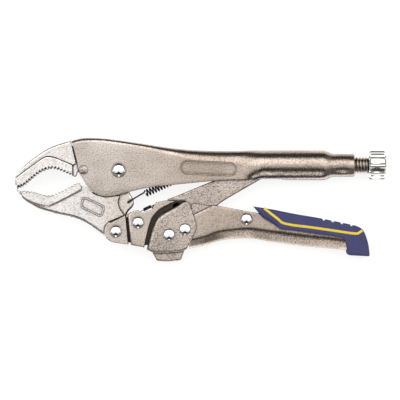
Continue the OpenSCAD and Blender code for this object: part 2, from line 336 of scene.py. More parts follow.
def mesh_object(name, solid, sharp=CREASE):
    """A mesh of the solid in the frame's metres, closed, with its faces outward."""
    points, faces = solid
    mesh = bpy.data.meshes.new(name)
    mesh.from_pydata([in_frame(p) for p in points], [], faces)
    work = bmesh.new()
    work.from_mesh(mesh)
    bmesh.ops.remove_doubles(work, verts=work.verts, dist=1e-6)
    bmesh.ops.dissolve_degenerate(work, edges=work.edges, dist=1e-6)
    bmesh.ops.triangulate(work, faces=[face for face in work.faces if len(face.verts) > 4])
    bmesh.ops.recalc_face_normals(work, faces=work.faces)
    work.to_mesh(mesh)
    work.free()
    mesh.shade_smooth()
    mesh.set_sharp_from_angle(angle=math.radians(sharp))
    piece = bpy.data.objects.new(name, mesh)
    bpy.context.scene.collection.objects.link(piece)
    return piece


def settled(piece, sharp):
    """The piece with its modifiers made into plain mesh."""
    depsgraph = bpy.context.evaluated_depsgraph_get()
    old = piece.data
    made = bpy.data.meshes.new_from_object(piece.evaluated_get(depsgraph))
    piece.modifiers.clear()
    piece.data = made
    made.name = piece.name
    if old.users == 0:
        bpy.data.meshes.remove(old)
    made.shade_smooth()
    made.set_sharp_from_angle(angle=math.radians(sharp))
    return piece


def carved(piece, cutters, operation="DIFFERENCE"):
    """The piece with solids cut out of it, or joined to it."""
    tools = [mesh_object(f"{piece.name}_tool", cutter) for cutter in cutters]
    for tool in tools:
        cut = piece.modifiers.new("cut", "BOOLEAN")
        cut.object = tool
        cut.operation = operation
        cut.solver = "MANIFOLD"
    settled(piece, CREASE)
    for tool in tools:
        mesh = tool.data
        bpy.data.objects.remove(tool)
        bpy.data.meshes.remove(mesh)
    return piece


def softened(piece, width):
    """The piece with its sheet edges rounded over. The rounding takes the piece's last finish, if any."""
    bevel = piece.modifiers.new("edges", "BEVEL")
    bevel.width = width * MM
    bevel.segments = 3
    bevel.material = len(piece.data.materials) - 1
    bevel.limit_method = "ANGLE"
    bevel.angle_limit = math.radians(50)
    return settled(piece, 40)


def fitted(piece, node, *finishes, body=None):
    """The finished piece, riding where its CAD node rides and standing for it. With no finish given it
    keeps its own."""
    if finishes:
        piece.data.materials.clear()
    for finish in finishes:
        piece.data.materials.append(finish)
    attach(piece, body or BODIES[node])
    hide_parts(node)
    return piece


# ---- node helpers ----------------------------------------------------------------


def add(tree, kind, settings=None, **inputs):
    """A node whose sockets take numbers or other nodes' outputs. A socket is named, or numbered as i0, i1."""
    made = tree.nodes.new(kind)
    for key, value in (settings or {}).items():
        setattr(made, key, value)
    for key, value in inputs.items():
        numbered = key[0] == "i" and key[1:].isdigit()
        socket = made.inputs[int(key[1:])] if numbered else made.inputs[key.replace("_", " ")]
        if isinstance(value, bpy.types.NodeSocket):
            tree.links.new(value, socket)
        else:
            socket.default_value = value
    return made


def calc(tree, operation, *values):
    sockets = {f"i{i}": value for i, value in enumerate(values)}
    return add(tree, "ShaderNodeMath", {"operation": operation}, **sockets).outputs[0]


def ramp(tree, value, low, high, start=0.0, end=1.0):
    """A smooth step of value between low and high, from start to end."""
    made = add(tree, "ShaderNodeMapRange", {"interpolation_type": "SMOOTHSTEP"}, Value=value,
        From_Min=low, From_Max=high, To_Min=start, To_Max=end)
    return made.outputs["Result"]


def mixed(tree, factor, first, second):
    made = add(tree, "ShaderNodeMix", {"data_type": "RGBA"}, i0=factor)
    for socket, value in ((made.inputs[6], first), (made.inputs[7], second)):
        if isinstance(value, bpy.types.NodeSocket):
            tree.links.new(value, socket)
        else:
            socket.default_value = (*value, 1)
    return made.outputs[2]


# ---- finishes --------------------------------------------------------------------


def noise(tree, scale, detail=3.0, stretch=None, rough=0.55):
    place = add(tree, "ShaderNodeTexCoord").outputs["Object"]
    if stretch:
        place = add(tree, "ShaderNodeMapping", Vector=place, Scale=stretch).outputs[0]
    made = add(tree, "ShaderNodeTexNoise", Vector=place, Scale=scale, Detail=detail, Roughness=rough)
    return made.outputs["Fac"]


def new_finish(name):
    finish = bpy.data.materials.new(name)
    finish.use_nodes = True
    tree = finish.node_tree
    tree.nodes.clear()
    shader = add(tree, "ShaderNodeBsdfPrincipled")
    add(tree, "ShaderNodeOutputMaterial", Surface=shader.outputs[0])
    return finish, tree, shader


def plated(name, light, dark, roughness, grain_scale, grain, brushing=0.0, spread=0.08, cloud=0.5,
        rear_tint=None, tint_span=(-10, 55), shade_span=(0.42, 0.93)):
    """Metal with a fine grain, cloudy tarnish, painted shade in its corners and gaps and, where brushed, streaks
    along the tool. A rear-tinted plate is browner towards the rear, between two distances from the jaw pivot."""
    finish, tree, shader = new_finish(name)
    clouds = noise(tree, 34, 4)
    specks = noise(tree, grain_scale, 2)
    streaks = noise(tree, 260, 3, stretch=(0.06, 1.6, 1.6))
    tone = calc(tree, "ADD", calc(tree, "MULTIPLY", ramp(tree, clouds, 0.35, 0.68), cloud),
        calc(tree, "MULTIPLY", ramp(tree, specks, 0.42, 0.7), 1 - cloud))
    colour = mixed(tree, tone, light, dark)
    # Rear tint: the colour is multiplied browner between two distances along X from the jaw pivot.
    if rear_tint:
        place = add(tree, "ShaderNodeTexCoord").outputs["Object"]
        along = add(tree, "ShaderNodeSeparateXYZ", Vector=place).outputs[0]
        rearward = ramp(tree, along, *(in_frame((x, 0, 0))[0] for x in tint_span))
        tint = add(tree, "ShaderNodeMix", {"data_type": "RGBA", "blend_type": "MULTIPLY"}, i0=rearward)
        tree.links.new(colour, tint.inputs[6])
        tint.inputs[7].default_value = (*rear_tint, 1)
        colour = tint.outputs[2]
    # Painted shade: the colour darkens toward a near-black where ambient occlusion finds corners and gaps between
    # parts.
    open_sky = add(tree, "ShaderNodeAmbientOcclusion", {"samples": 8}, Distance=2 * MM).outputs["AO"]
    crevice_darkening = ramp(tree, open_sky, *shade_span, 0.95, 0.0)
    tree.links.new(mixed(tree, crevice_darkening, colour, CREVICE_SHADE), shader.inputs["Base Color"])
    gloss = calc(tree, "MULTIPLY_ADD", ramp(tree, specks, 0.3, 0.72), spread, roughness - spread / 2)
    gloss = calc(tree, "MULTIPLY_ADD", ramp(tree, streaks, 0.3, 0.7), brushing * 0.16, gloss)
    gloss = calc(tree, "MULTIPLY_ADD", ramp(tree, clouds, 0.3, 0.75), 0.07, gloss)
    tree.links.new(gloss, shader.inputs["Roughness"])
    height = calc(tree, "MULTIPLY_ADD", streaks, brushing, specks)
    bump = add(tree, "ShaderNodeBump", Strength=grain, Distance=0.00025, Height=height)
    tree.links.new(bump.outputs[0], shader.inputs["Normal"])
    shader.inputs["Metallic"].default_value = 1.0
    return finish


def moulded(name, light, dark, roughness, grain):
    """Rubber with the fine pebbling of its mould and a little dust."""
    finish, tree, shader = new_finish(name)
    place = add(tree, "ShaderNodeTexCoord").outputs["Object"]
    pebbles = add(tree, "ShaderNodeTexVoronoi", Vector=place, Scale=1500)
    dust = noise(tree, 70, 5)
    fine = noise(tree, 2600, 2)
    tree.links.new(mixed(tree, ramp(tree, dust, 0.35, 0.75), light, dark), shader.inputs["Base Color"])
    tree.links.new(calc(tree, "MULTIPLY_ADD", dust, 0.22, roughness - 0.1), shader.inputs["Roughness"])
    height = calc(tree, "MULTIPLY_ADD", fine, 0.5, pebbles.outputs["Distance"])
    bump = add(tree, "ShaderNodeBump", Strength=grain, Distance=0.0002, Height=height)
    tree.links.new(bump.outputs[0], shader.inputs["Normal"])
    shader.inputs["Specular IOR Level"].default_value = 0.35
    return finish


# Near-black of the painted shade in corners and gaps between parts
CREVICE_SHADE = (0.028, 0.022, 0.018)
SATIN = plated("satin_nickel_plate", (0.63, 0.575, 0.53), (0.30, 0.25, 0.215), 0.21, 950, 0.4, brushing=0.15,
    cloud=0.42, rear_tint=(0.84, 0.79, 0.75))
# From 20 mm before the pivot to 3 mm behind it the forging turns browner: painted shade on its lug and tangs,
# which lie below the jaws' faces.
FORGED = plated("satin_nickel_forging", (0.86, 0.845, 0.83), (0.46, 0.42, 0.395), 0.23, 950, 0.4, cloud=0.3,
    rear_tint=(0.84, 0.79, 0.74), tint_span=(-20, 3), shade_span=(0.6, 0.97))
GRAINY = plated("grainy_nickel_casting", (0.52, 0.455, 0.41), (0.13, 0.105, 0.09), 0.30, 1000, 0.8,
    cloud=0.28)
BRIGHT = plated("bright_rivet", (0.93, 0.93, 0.94), (0.86, 0.86, 0.87), 0.06, 900, 0.02, spread=0.04,
    shade_span=(0.6, 0.97))
CHROME = plated("bright_knob", (0.93, 0.92, 0.89), (0.84, 0.82, 0.78), 0.19, 1100, 0.03, spread=0.05)
THREAD = plated("oiled_thread", (0.70, 0.60, 0.52), (0.32, 0.25, 0.20), 0.27, 1400, 0.15)
# Dark steel on pins, cam, spacer and tip; on the lever's tails and webs it is painted shade in the gaps
DARK_STEEL_AND_SHADE = plated("dark_steel_and_painted_shade", (0.055, 0.046, 0.042), (0.018, 0.015, 0.013), 0.42, 1300, 0.25)
# Dark colour for the upper handle's rounded sheet edges: painted shade and dark reflections along them
EDGE_SHADE = plated("painted_shade_edge", (0.17, 0.14, 0.12), (0.07, 0.055, 0.045), 0.40, 1300, 0.3)
WIRE = plated("black_spring_wire", (0.055, 0.055, 0.06), (0.02, 0.02, 0.022), 0.38, 1600, 0.1)
NAVY = moulded("navy_rubber", (0.044, 0.047, 0.150), (0.057, 0.060, 0.165), 0.52, 0.5)
YELLOW = moulded("yellow_rubber", (0.86, 0.66, 0.045), (0.80, 0.60, 0.035), 0.5, 0.3)


# ---- upper handle ----------------------------------------------------------------


def fold_line(edge, ridge, depth, width, reach, crisp=1.0, straight=8, turn=10):
    """Half a folded sheet's section, from its free edge to the middle of its fold. The fold is an ellipse,
    depth deep in the flat's plane and reach wide across it. A crisp one, over 1, starts at a clearer line."""
    along = ridge - edge
    flat_share = 1 - depth / along.length
    half = [(edge + along * flat_share * i / straight, width) for i in range(straight)]
    for i in range(turn + 1):
        a = math.radians(90 * i / turn)
        share = flat_share + depth / along.length * math.sin(a) ** crisp
        half.append((edge + along * share, width - reach + reach * abs(math.cos(a)) ** crisp))
    return [(p.x, p.y, z) for p, z in half]


def round_line(x, radius, gap, straight=8, turn=10):
    """Half a slotted round, from the edge of its slot over to its top."""
    start = -90 + math.degrees(math.asin(min(gap / radius, 1)))
    total = straight + turn
    half = []
    for i in range(total + 1):
        a = math.radians(start + (90 - start) * i / total)
        half.append((x, TUBE_Y + radius * math.sin(a), radius * math.cos(a)))
    return half


def sheet_ring(outer, inner):
    """The closed section of a sheet, from half its outside and half its inside."""

    def whole(half):
        return half + [(x, y, -z) for x, y, z in half[-2::-1]]

    return whole(outer) + whole(inner)[::-1]


# Free edge x, y, fold's ridge x, y, and the fold's depth and reach
UPPER_FOLD = [(-26.6, -3, -32.5, 19.9, 3.1, 3.1), (-24.8, -5.4, -28.6, 21.1, 3.1, 3.1),
    (-21.5, -11.2, -24.4, 21.9, 3.1, 3.1), (-16.3, -16, -18.7, 22.1, 3.1, 3.1),
    (-9.3, -18.2, -9.6, 21.7, 3.1, 3.1), (-2, -17.4, -2.3, 20.8, 3.1, 3.1),
    (8.2, -14.7, 8.2, 19.3, 3.2, 3.2), (18.7, -12.3, 18.7, 17.7, 3.4, 3.4),
    (31.6, -10.7, 31.6, 15.7, 4.6, 4.3), (47.6, -9.1, 47.6, 13.9, 6.8, 5.4),
    (63.3, -7.6, 63.3, 13.2, 8.6, 6.2), (76, -6.7, 76, 13.1, 9.4, 6.5), (88, -6.7, 88, 13.3, 9.6, 6.6),
    (98, -6.85, 98, 13.6, 9.6, 6.6)]
FRONT_EDGE = [(-26.6, -3), (-27.6, 0), (-28.2, 4.6), (-30.1, 12), (-32.5, 19.9)]
FRONT_TOP = 21.5     # level at which the bow of the front edge ends
BOW = (1.0, 0.8, 0.6, 0.42, 0.26, 0.14, 0.06)    # how far each column from the front shares it
FLARE = (85, 98)     # where the flat channel swells into the round
SLOT_END = (110, 117)    # where the slot closes to a seam
TAPER = (139.9, 147.9)   # where the round narrows to the collar
COLLAR_END = 161.7


def handle_columns():
    """Sections of the flat channel, swelling into the round at its rear."""
    columns = []
    for x0, y0, x1, y1, depth, reach in smooth(UPPER_FOLD, 4):
        edge, ridge = Vector((x0, y0)), Vector((x1, y1))
        swell = ease(*FLARE, edge.x)
        halves = []
        for inside in (False, True):
            wall = PLATE_OUT - PLATE_IN if inside else 0.0
            top = ridge - (ridge - edge).normalized() * wall
            half = fold_line(edge, top, max(depth - wall * FOLD_LOSS, 0.5), PLATE_OUT - wall,
                max(reach - wall, 0.4))
            ring = round_line(edge.x, TUBE_BORE if inside else TUBE_R, SLOT_HALF)
            halves.append([tuple(Vector(p).lerp(Vector(q), swell)) for p, q in zip(half, ring)])
        columns.append(sheet_ring(*halves))
    return bowed(columns)


def bowed(columns):
    """The front columns pushed to the curved front edge."""
    last = 39
    edge = spaced(flat(FRONT_EDGE, 6), last + 1)
    low, chord = edge[0], edge[-1] - edge[0]
    for i, share in enumerate(BOW):
        bottom = columns[i][0][1]
        pushed = []
        for x, y, z in columns[i]:
            along = max(0.0, min(1.0, (y - bottom) / max(FRONT_TOP - bottom, 1)))
            k = int(along * last)
            bulge = edge[k] - (low + chord * (k / last))
            pushed.append((x + bulge.x * share, y + bulge.y * share, z))
        columns[i] = pushed
    return columns


def tube_columns():
    """Sections of the round rear, with its slot, its seam and its collar."""
    outer = [(x, TUBE_R) for x in (101, 106, SLOT_END[0], 112, 114, 115.5, SLOT_END[1], 124, 132)]
    outer += [(137, TUBE_R + 0.05)]
    outer += [(TAPER[0] + (TAPER[1] - TAPER[0]) * k / 7, TUBE_R + (COLLAR_R - TUBE_R) * ease(0, 1, k / 7))
        for k in range(8)]
    outer += [(TAPER[1] + 0.25, COLLAR_R - 0.12), (TAPER[1] + 0.6, COLLAR_R), (155, COLLAR_R),
        (COLLAR_END - 0.8, COLLAR_R), (COLLAR_END - 0.3, COLLAR_R - 0.35), (COLLAR_END, COLLAR_R - 0.8)]
    columns = []
    for x, radius in outer:
        gap = SLOT_HALF + (SEAM_HALF - SLOT_HALF) * ease(*SLOT_END, x)
        bore = TUBE_BORE + (COLLAR_BORE - TUBE_BORE) * ease(TAPER[0] - 2, TAPER[1] - 2, x)
        columns.append(sheet_ring(round_line(x, radius, gap), round_line(x, bore, gap)))
    return columns


def badge_outline():
    """A plain pill along the handle's flat."""
    centre, half, tilt = Vector((61.5, 1.2)), Vector((19, 4.3)), math.radians(-2.5)
    ends = arc((half.x - half.y, 0), half.y, -90, 90, 12) + arc((half.y - half.x, 0), half.y, 90, 270, 12)
    turn = Vector((math.cos(tilt), math.sin(tilt)))
    return [centre + Vector((p.x * turn.x - p.y * turn.y, p.x * turn.y + p.y * turn.x)) for p in ends]


def make_upper_handle():
    sheet = loft(handle_columns() + tube_columns(), ends="strip")
    piece = mesh_object("upper_handle_sheet", sheet)
    piece.data.materials.append(SATIN)
    # The rounded edges take this last finish: painted shade and dark reflections along the sheet's edges.
    piece.data.materials.append(EDGE_SHADE)
    softened(piece, 1.05)
    rim = badge_outline()
    inner = inset(counter_clockwise(rim), [1.5] * len(rim))
    badge = joined(bead(rim, 1.1, 0.6, PLATE_OUT), bead(inner, 0.5, 0.16, PLATE_OUT))
    merge(piece, mesh_object("badge", badge))
    fitted(piece, "upper_handle")


def merge(piece, extra):
    """The extra mesh made part of the piece."""
    work = bmesh.new()
    work.from_mesh(piece.data)
    work.from_mesh(extra.data)
    work.to_mesh(piece.data)
    work.free()
    mesh = extra.data
    bpy.data.objects.remove(extra)
    bpy.data.meshes.remove(mesh)


# ---- jaws ------------------------------------------------------------------------

UPPER_BITE = [(-69.4, -13), (-64.2, -11), (-53.7, -2.3), (-46.7, 0.6), (-41.9, 0.1), (-36.6, -2),
    (-31.8, -4.1)]
UPPER_STEP = [(-70.5, -5.9), (-58.5, 3), (-51.1, 8), (-47.6, 8.7), (-43.2, 7.8), (-38.8, 6), (-31.9, 3)]
UPPER_BACK = [(-33.1, 20.2), (-47.6, 15.2), (-60.7, 6.5), (-67.3, 0.1), (-70.4, -5.5), (-70.8, -10)]
LOWER_BITE = [(-26.4, -9.1), (-28.8, -8.8), (-38.6, -13.9), (-47.6, -17.3), (-56.5, -15.2), (-66.6, -13.6)]
LOWER_STEP = [(-25.7, -13.2), (-32.2, -16.7), (-44.9, -23.1), (-50.2, -24.2), (-60.2, -21.3), (-66.2, -17.3)]
LOWER_BACK = [(-69.9, -13.3), (-69.6, -14.4), (-64.6, -19.3), (-56.3, -25.9), (-43.2, -30.1), (-30, -33.1),
    (-21.3, -37.1), (-10.4, -44.7)]
LOWER_INNER = [(-9.3, -37.9), (-6.4, -35.1), (3.4, -30.9), (0.2, -26.2), (-0.8, -22.3), (-0.4, -19.9),
    (0.6, -17.9), (-3, -18.1), (-9.4, -18.9), (-16.8, -16.7), (-22.2, -11.9), (-25, -10.8)]
LUG = [(-11, -1), (11, -1), (7.2, -15.7), (10, -19.5), (10.7, -22.3), (9.7, -25.1), (5.4, -29.3), (4.6, -40),
    (-8.6, -40), (-18, -34), (-19, -15.5), (-12.5, -10)]
UPPER_REAR = [(-31.9, -2.6), (-31.9, 3.4), (-29.4, 4.6)]
UPPER_TANG = [(-31.7, 2.2), (-31.7, -3.6), (-30.4, -4.9), (-28.9, -3.8), (-28.4, -1), (-24, -4.2),
    (-19, -3.2), (-13.5, 3), (-12.2, 12), (-13, 18.2), (-33, 16.4)]
PANEL = [(-24, -18.6), (-9.9, -25.2), (-11.9, -31.9), (-25.8, -25.2)]


def near_line(point, line):
    return min((point - p).length for p in line)


def tooth_backs(bite):
    """The line behind a row of teeth, where a jaw's body starts."""
    line = spaced(flat(bite, 8), 40)
    return [p + left_of(q - o) * (TOOTH_BACKING + 0.3) for o, p, q in zip(line, line[1:], line[2:])]


def forged_edge(back, tip, most, elsewhere):
    """An edge radius that grows along a jaw's back, from its tip, and is small round the rest."""

    def radius(point):
        if near_line(point, back) < 0.2:
            return min(most, 0.3 + 0.14 * abs(point.x - tip))
        return elsewhere

    return radius


def make_fixed_jaw():
    back = flat(UPPER_BACK, 5)
    outline = back + tooth_backs(UPPER_BITE) + [Vector(p) for p in UPPER_REAR]
    body = slab(outline, -BACK, BACK, forged_edge(back[1:], UPPER_BACK[-1][0], 1.5, 0.25))
    tang = slab(rounded(UPPER_TANG, 1), -TANG, TANG, 0.6)
    band = tooth_band(flat(UPPER_BITE, 8), flat(UPPER_STEP, 6), 19, (1.9, 0.9), 1.0)
    fitted(mesh_object("fixed_jaw_forging", joined(body, tang, band), 30), "fixed_jaw", FORGED)


def make_lower_jaw():
    pivot = middle("lower_jaw_rivet").xy
    back = flat(LOWER_BACK, 5)
    inner = [Vector(p) for p in LOWER_INNER]
    outline = back + arc(pivot, 8.2, 192, 162, 5) + inner + tooth_backs(LOWER_BITE)
    body = slab(outline, -BACK, BACK, forged_edge(back[2:], LOWER_BACK[0][0], 2.2, 0.3))
    lug = slab(rounded(LUG, 2.5), -TANG, TANG, 1.5)
    band = tooth_band(flat(LOWER_BITE, 8), flat(LOWER_STEP, 6), 18, (0.9, 1.1), 0.4)
    panel = bead(counter_clockwise(rounded(PANEL, 2, 5)), 1.2, 0.75, BACK)
    fitted(mesh_object("lower_jaw_forging", joined(body, lug, band, panel), 30), "lower_jaw", FORGED)


# ---- levers and link -------------------------------------------------------------

TAIL = [(15, -29.6), (22.6, -27.2), (24.3, -24.1), (25.5, -22.2), (31.6, -20.9), (45.6, -20.9), (47, -23),
    (47.4, -36), (49.4, -40.5), (47, -45.6), (38, -49.6), (28, -51.2), (15, -51.6)]
EAR = [(3.6, -31.5), (4.4, -30.7), (6.5, -51.1)]
EAR_TOP = [(-5.6, -36.1), (-1, -33.9)]
PAD = [(5.9, -30.2), (9.7, -28.1), (13.4, -27.5), (15.4, -29.4), (22.6, -27.2), (24.3, -24.1), (25.5, -22.2),
    (31.4, -21.1), (37.6, -21.2), (38.2, -21.6)]
PAD_RIGHT = [(35.1, -22.9), (31.8, -24.7), (28.2, -26.9), (23.2, -32.2), (20.9, -37.9), (19, -45.4),
    (17.3, -53.1)]
# A thin floor between ear and pad, in the dark finish as painted shade at the bottom of that gap
WEB = [(1, -36), (3, -33), (9, -31), (16, -31), (16, -50.6), (1, -49)]
LAYER = 0.03         # each layer starts a hair above the last, so that no two faces share a plane


def pad_edge(point):
    """The pad's edge radius: wide beside the ear, less down the right side, thin on top and at the tip."""
    if point.x < 8.6 and point.y < -29.5:
        return 1.6
    if point.x > 33:
        return 0.3
    return 0.8 if point.y < -26.5 and point.x > 17 else 0.5


def make_lever_plates():
    """Both plates: an ear and a pad in bright plate over a tail and a web painted dark as the shade in the gaps
    between them.
    """
    hinge = middle("lower_jaw_rivet").xy
    ear = [Vector(p) for p in EAR] + arc(hinge, 7.9, 262, 128, 14) + [Vector(p) for p in EAR_TOP]
    pad = [Vector(p) for p in PAD] + flat(PAD_RIGHT, 3) + [Vector((8.3, -51.5))]
    tail = [Vector(p) for p in TAIL]
    web = [Vector(p) for p in WEB]
    plate = joined(slab(ear, LEVER_IN, EAR_OUT, 0.5, one_sided=True),
        slab(pad, LEVER_IN + LAYER, PAD_OUT, pad_edge, one_sided=True),
        slab(tail, LEVER_IN + 2 * LAYER, TAIL_OUT, 0.4, one_sided=True),
        slab(web, LEVER_IN + 3 * LAYER, LEVER_IN + 0.6, 0.1, one_sided=True))
    for node, solid in (("front_lever_near", plate), ("front_lever_far", mirrored(plate))):
        piece = mesh_object(f"{node}_plate", solid, 30)
        fitted(piece, node, SATIN, DARK_STEEL_AND_SHADE)
        # Faces at or below the tail's height take the dark finish: painted shade in the gaps round the ear and
        # pad.
        for face in piece.data.polygons:
            face.material_index = int(abs(face.center.z - PIVOT.z) < (TAIL_OUT + 0.02) * MM)


def make_link():
    pin = middle("toggle_pin").xy
    top = [(33.4, -19.8), (38.1, -18.3), (62.5, -8.3), (84, 0.6), (100, 6.2)]
    under = [(95.9, -7.2), (72.3, -20.8), (66.8, -25), (58, -29.4), (46, -31.9)]
    nose = arc((110, TUBE_Y), 4, 95, -60, 10)
    outline = flat(top, 3) + nose + flat(under, 3) + arc(pin, 7, -85, -190, 8)
    fitted(mesh_object("toggle_link_casting", slab(outline, -LINK, LINK, 0.9)), "toggle_link", GRAINY)


# ---- lower handle ----------------------------------------------------------------

# Free edge x, y, fold's ridge x, y, and the fold's depth
LOWER_FOLD = [(50.9, -30.8, 48, -53.9, 6.6), (57.5, -27.6, 58.1, -51.8, 6.8), (63.3, -24.9, 63.3, -50.2, 7.4),
    (66.5, -24.4, 68.6, -48.6, 7.4), (76.2, -26, 77, -47.2, 7.2), (88, -28.2, 89, -46.8, 7.8),
    (98, -29.9, 98, -48, 8), (110, -31.6, 108, -49.7, 8.4), (130, -35, 128, -52.3, 8.4),
    (150, -38.8, 148, -54.1, 8), (162.3, -43.5, 161.6, -55, 6)]
KNURL = (104, 150)   # stretch of shallow finger ridges under the fold
KNURL_DEPTH = 0.16
KNURL_PITCH = 5.2
BEND = 1.35          # how crisply the fold starts


def make_lower_handle():
    columns = []
    for x0, y0, x1, y1, depth in smooth(LOWER_FOLD, 8):
        ridge_wave = KNURL_DEPTH * (0.5 - 0.5 * math.cos(2 * math.pi * (x1 - KNURL[0]) / KNURL_PITCH))
        ridge_wave *= ease(KNURL[0], KNURL[0] + 4, x1) * (1 - ease(KNURL[1] - 4, KNURL[1], x1))
        edge, ridge = Vector((x0, y0)), Vector((x1, y1 + ridge_wave))
        wall = CHEEK_OUT - CHEEK_IN
        inner_ridge = ridge + (edge - ridge).normalized() * wall
        columns.append(sheet_ring(fold_line(edge, ridge, depth, CHEEK_OUT, CHEEK_OUT - 0.3, BEND),
            fold_line(edge, inner_ridge, depth - wall * FOLD_LOSS, CHEEK_IN, CHEEK_IN - 0.3, BEND)))
    piece = softened(mesh_object("lower_handle_sheet", loft(columns, ends="strip")), 0.7)
    fitted(piece, "lower_handle", SATIN)


SHELL_LEFT = [(19.1, -54.6), (21.8, -43.8), (23.4, -38.9), (25.7, -33.6), (29.4, -30), (35.4, -26.5),
    (44.1, -22.1)]
SHELL_RIGHT = [(47, -21.7), (48.9, -23.9), (51.1, -30.4), (53.5, -39.1), (49.9, -48.1), (46.7, -53.8),
    (45.4, -54.9)]
SHELL_BOTTOM = [(42.4, -56), (34.2, -56.7), (27.6, -56.8), (22.7, -56.3)]
HEEL = [(22.7, -56.2), (26.3, -62.4), (34.2, -62.8), (42.6, -61.9), (45.2, -55), (34, -54.6)]
SHELL_EDGE = 2.6     # radius along the left edge, less toward its top
HEEL_HALF = 5.2


def cutter_box(low, high):
    (x0, y0, z0), (x1, y1, z1) = low, high
    ring = [(x0, y0), (x1, y0), (x1, y1), (x0, y1)]
    return loft([[(x, y, z) for x, y in ring] for z in (z0, z1)])


def make_shell():
    left = flat(SHELL_LEFT, 4)
    outline = left + [Vector(p) for p in SHELL_RIGHT + SHELL_BOTTOM]

    def edge(point):
        if near_line(point, left) < 0.3:
            return min(SHELL_EDGE, 0.8 + 0.4 * (44.2 - point.x))
        return 1.6 if point.y < -54.7 else 0.8

    piece = mesh_object("handle_front_casting", slab(outline, -SHELL_OUT, SHELL_OUT, edge, 5))
    carved(piece, [slab(rounded(HEEL, 1.2), -HEEL_HALF, HEEL_HALF, 1.3)], "UNION")
    carved(piece, [cutter_box((10, -54.3, -SHELL_IN), (60, -10, SHELL_IN)),
        cutter_box((47.3, -70, -CHEEK_OUT - 0.15), (70, -10, CHEEK_OUT + 0.15))])
    fitted(piece, "handle_front_shell", GRAINY)


# ---- rubber sleeve ---------------------------------------------------------------

GRIP_TOP = [(92.2, -24.9), (106, -27.1), (120.9, -30.1), (138, -33), (161.8, -37.9)]
GRIP_END = [(161.8, -37.9), (166, -40), (168.5, -43.5), (170.8, -50.9), (171.7, -58.2)]
GRIP_WING = [(171.2, -59.1), (158.1, -58.4), (156.6, -57.6), (155.1, -49.4), (153.6, -46.4), (146.9, -45.3),
    (120.9, -41.4), (111.2, -40.5), (106, -36.8), (98.6, -32.3)]
NOTCHES = (140.6, 146.7, 153, 159.6)
STRIPE = [(99.6, -26.2), (108.5, -33.2), (114.6, -36.9), (135.8, -39.8), (158.1, -43.1), (163.6, -43.5)]
STRIPE_END = [(166.2, -41.6), (166.9, -40.9)]
STRIPE_WIDTH = 1.7
GRIP_EDGE = 1.9


def grip_outline():
    return counter_clockwise(flat(GRIP_TOP, 5)[:-1] + flat(GRIP_END, 4) + [Vector(p) for p in GRIP_WING])


def grip_edge(point):
    """The sleeve's edge radius: small at its thin front and along its lower edge."""
    if point.x < 97:
        return 0.9
    return 1.1 if point.y < -40.4 and point.x < 156 else GRIP_EDGE


def notch_tool(x):
    """A rounded groove across the sleeve's top."""
    top = -33.0 - (x - 138) * 0.206
    ring = arc((x, top + 0.25), 1.35, 0, 360, 16)[:-1]
    return loft([[(p.x, p.y, z) for p in ring] for z in (-14, 14)])


def cavity():
    """The room that the folded handle takes inside the sleeve."""
    outline = [Vector((row[2], row[3] - 6)) for row in smooth(LOWER_FOLD, 4)[:-1]]
    outline += [Vector(p) for p in ((163.1, -54), (163.1, -43.2), (150, -38.4), (110, -31.2), (90, -28.3),
        (48, -31))]
    return slab(outline, -CHEEK_OUT - 0.06, CHEEK_OUT + 0.06, 0.01, 1)


def make_grip():
    piece = mesh_object("rubber_sleeve", slab(grip_outline(), -GRIP_OUT, GRIP_OUT, grip_edge, 5))
    carved(piece, [cavity()] + [notch_tool(x) for x in NOTCHES])
    fitted(piece, "grip_sleeve", NAVY)


def grip_height(point, outline):
    """Height of the sleeve's skin over the middle plane at a point of its side."""
    best, radius = 1e9, GRIP_EDGE
    for p, q in zip(outline, outline[1:] + outline[:1]):
        step = q - p
        t = max(0.0, min(1.0, (point - p).dot(step) / max(step.length_squared, 1e-9)))
        gap = (p + step * t - point).length
        if gap < best:
            best, radius = gap, grip_edge(p)
    depth = max(0.0, radius - best)
    return GRIP_OUT - radius + math.sqrt(max(radius ** 2 - depth ** 2, 0))


def make_stripe():
    outline = grip_outline()
    path = spaced(flat(STRIPE, 6) + [Vector(p) for p in STRIPE_END], 90)
    last = len(path) - 1
    across = (-0.5, -0.42, -0.2, 0, 0.2, 0.42, 0.5)
    rise = (0.0, 0.1, 0.14, 0.15, 0.14, 0.1, 0.0)
    rings = []
    for i, point in enumerate(path):
        out = left_of(path[min(i + 1, last)] - path[max(i - 1, 0)])
        row = [point + out * STRIPE_WIDTH * s for s in across]
        top = [(p.x, p.y, grip_height(p, outline) + h) for p, h in zip(row, rise)]
        rings.append(top + [(x, y, z - 0.6) for x, y, z in reversed(top)])
    near = loft(rings)
    fitted(mesh_object("yellow_line", joined(near, mirrored(near)), 60), "grip_stripe", YELLOW)


# ---- Geometry Nodes: rivets, coils and the thread --------------------------------


def new_tree(name, inputs):
    tree = bpy.data.node_groups.new(name, "GeometryNodeTree")
    for label, kind in inputs:
        tree.interface.new_socket(label, in_out="INPUT", socket_type=kind)
    tree.interface.new_socket("Geometry", in_out="OUTPUT", socket_type="NodeSocketGeometry")
    given = tree.nodes.new("NodeGroupInput").outputs
    return tree, given


def end_tree(tree, geometry, finish):
    real = add(tree, "GeometryNodeRealizeInstances", Geometry=geometry).outputs[0]
    painted = add(tree, "GeometryNodeSetMaterial", Geometry=real, Material=finish).outputs[0]
    add(tree, "NodeGroupOutput", i0=painted)


def grown(name, tree, values, sharp=CREASE):
    """A mesh object made by a tree with those inputs."""
    mesh = bpy.data.meshes.new(name)
    piece = bpy.data.objects.new(name, mesh)
    bpy.context.scene.collection.objects.link(piece)
    modifier = piece.modifiers.new("shape", "NODES")
    modifier.node_group = tree
    for item in tree.interface.items_tree:
        if item.in_out == "INPUT":
            modifier[item.identifier] = values[item.name]
    return settled(piece, sharp)


def vector_of(tree, x, y, z):
    return add(tree, "ShaderNodeCombineXYZ", X=x, Y=y, Z=z).outputs[0]


RIM = 0.0004         # flat rim under a rivet's dome, in metres


